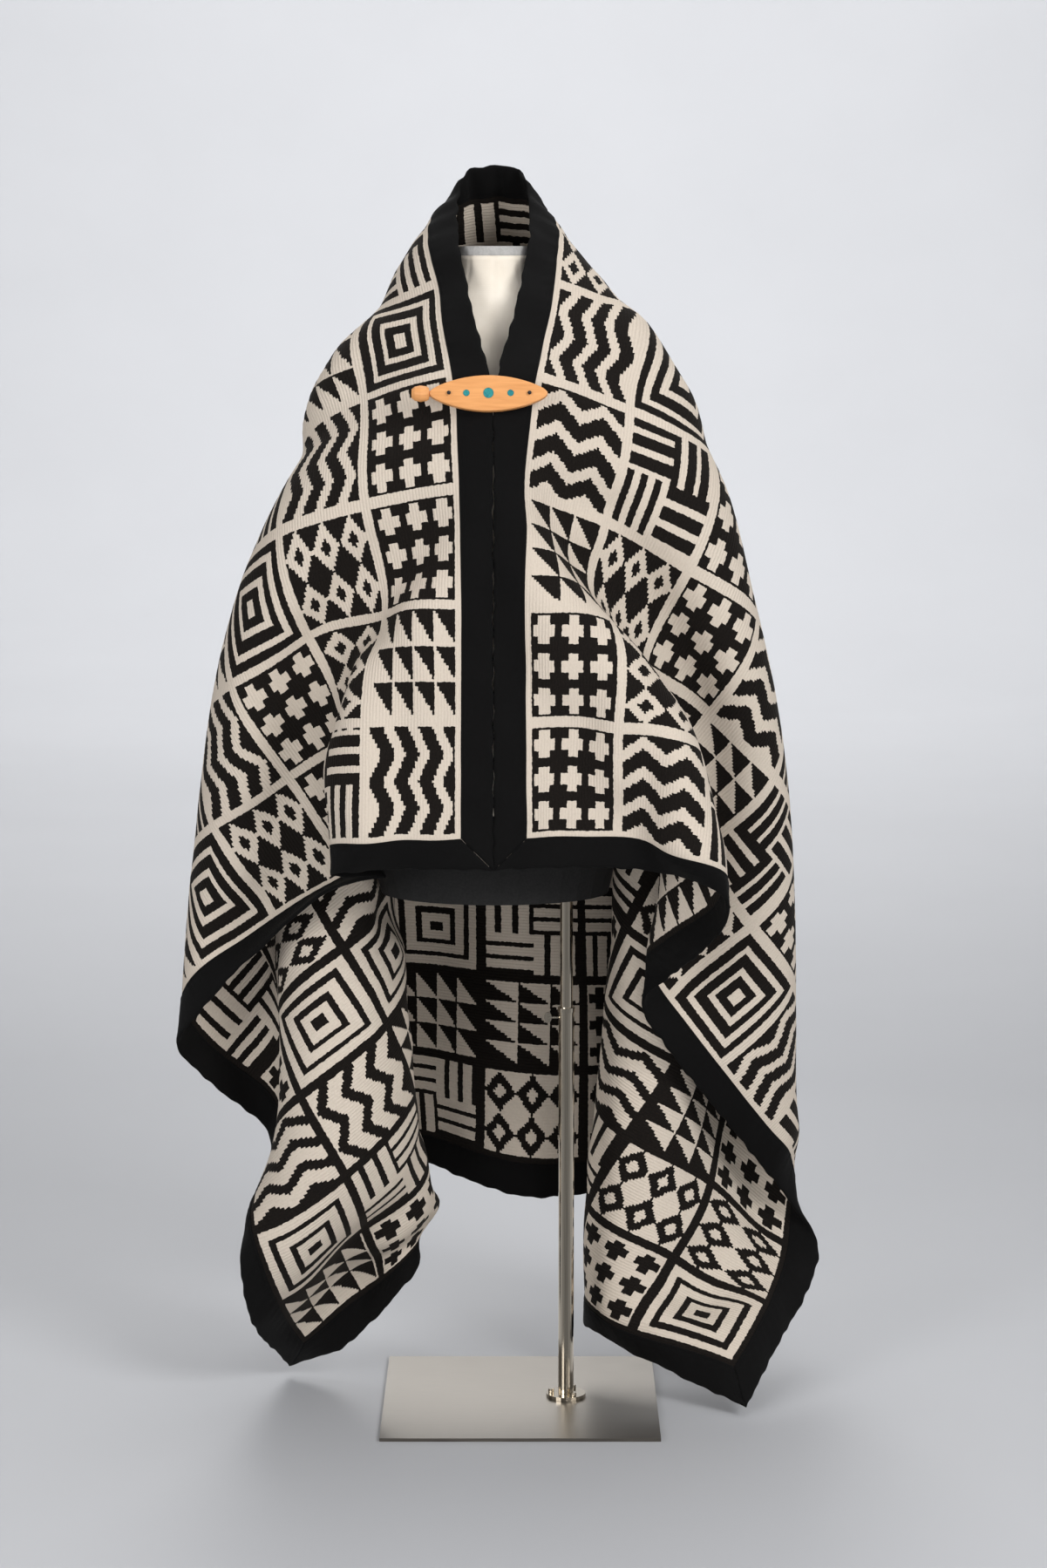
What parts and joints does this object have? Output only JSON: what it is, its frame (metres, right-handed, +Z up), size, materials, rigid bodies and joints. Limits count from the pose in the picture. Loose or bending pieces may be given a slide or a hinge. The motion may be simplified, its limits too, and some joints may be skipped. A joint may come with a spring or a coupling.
{
  "type": "honor blanket on a dress form and stand",
  "caption": "Wool honor blanket with a dark bound edge, worn round the shoulders of a dress form on a steel stand and closed at the chest by a wooden pin.",
  "frame": {"origin": "middle of the underside of the stand's base plate", "axes": "+Z up, the wearer faces -Y, +X is to the right as seen from the front"},
  "size_m": [0.8741, 0.5825, 1.66],
  "materials": {
    "wool": "brushed double-faced wool in charcoal and cream",
    "binding": "matt black cotton",
    "linen": "cream linen cover",
    "jersey": "black jersey cover",
    "cap": "grey, satin",
    "steel": "brushed",
    "cedar": "oiled",
    "shell": "polished shell",
    "cord": "twisted cord"
  },
  "bodies": {
    "root": {"blanket": "wool", "binding_neck": "binding", "binding_hem": "binding", "binding_left": "binding", "binding_right": "binding", "form_base": "jersey", "form_torso": "linen", "form_cap": "cap", "base_plate": "steel", "flange": "steel", "bolt_1": "steel", "bolt_2": "steel", "bolt_3": "steel", "pole_lower": "steel", "pole_upper": "steel", "thumb_screw": "steel", "pin_bar": "cedar", "pin_peg": "cedar", "inlay_left": "shell", "inlay_middle": "shell", "inlay_right": "shell", "cord_left": "cord", "cord_right": "cord"}
  },
  "joints": []
}
